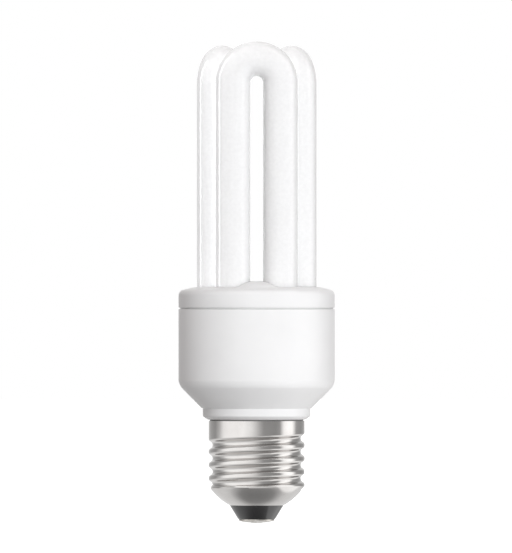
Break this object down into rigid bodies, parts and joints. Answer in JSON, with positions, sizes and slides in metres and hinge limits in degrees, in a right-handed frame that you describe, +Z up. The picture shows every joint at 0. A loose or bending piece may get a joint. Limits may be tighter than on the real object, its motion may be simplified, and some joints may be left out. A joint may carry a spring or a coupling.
{
  "type": "energy saving bulb",
  "caption": "Compact fluorescent lamp with white U-bent tubes, a white ballast housing and a nickel-plated Edison screw cap.",
  "frame": {"origin": "lowest point of the centre contact, on the lamp's axis", "axes": "+Z up the lamp's axis from the contact to the tube bends, -Y towards the front U"},
  "size_m": [0.0426, 0.0426, 0.1311],
  "materials": {
    "phosphor_glass": "gloss",
    "white_plastic": "satin",
    "nickel_plate": "gloss",
    "black_glass": "gloss",
    "contact_metal": "satin",
    "silicone": "matte",
    "laminate": "satin",
    "tinned_wire": "satin",
    "can_sleeve": "gloss",
    "ferrite": "matte",
    "bobbin_plastic": "satin",
    "enamelled_copper": "gloss",
    "moulding_compound": "matte",
    "film_coating": "gloss",
    "diode_glass": "gloss",
    "resistor_paint": "satin"
  },
  "bodies": {
    "root": {"discharge_tube": "phosphor_glass", "collar": "white_plastic", "housing": "white_plastic", "screw_shell": "nickel_plate", "cap_insulator": "black_glass", "centre_contact": "contact_metal", "tube_cement": "silicone", "circuit_board": "laminate", "tube_leads": "tinned_wire", "shell_wire": "tinned_wire", "storage_capacitor": "can_sleeve", "choke_core_1": "ferrite", "choke_core_2": "ferrite", "drive_core": "ferrite", "filter_core": "ferrite", "choke_bobbin": "bobbin_plastic", "choke_winding": "enamelled_copper", "drive_windings": "enamelled_copper", "filter_winding": "enamelled_copper", "power_transistor_1": "moulding_compound", "power_transistor_2": "moulding_compound", "rectifier_diode_1": "moulding_compound", "rectifier_diode_2": "moulding_compound", "rectifier_diode_3": "moulding_compound", "rectifier_diode_4": "moulding_compound", "resonant_capacitor": "film_coating", "blocking_capacitor": "film_coating", "start_capacitor": "film_coating", "trigger_diode": "diode_glass", "resistor_1": "resistor_paint", "resistor_2": "resistor_paint", "resistor_3": "resistor_paint", "resistor_4": "resistor_paint", "fusible_resistor": "resistor_paint"}
  },
  "joints": []
}
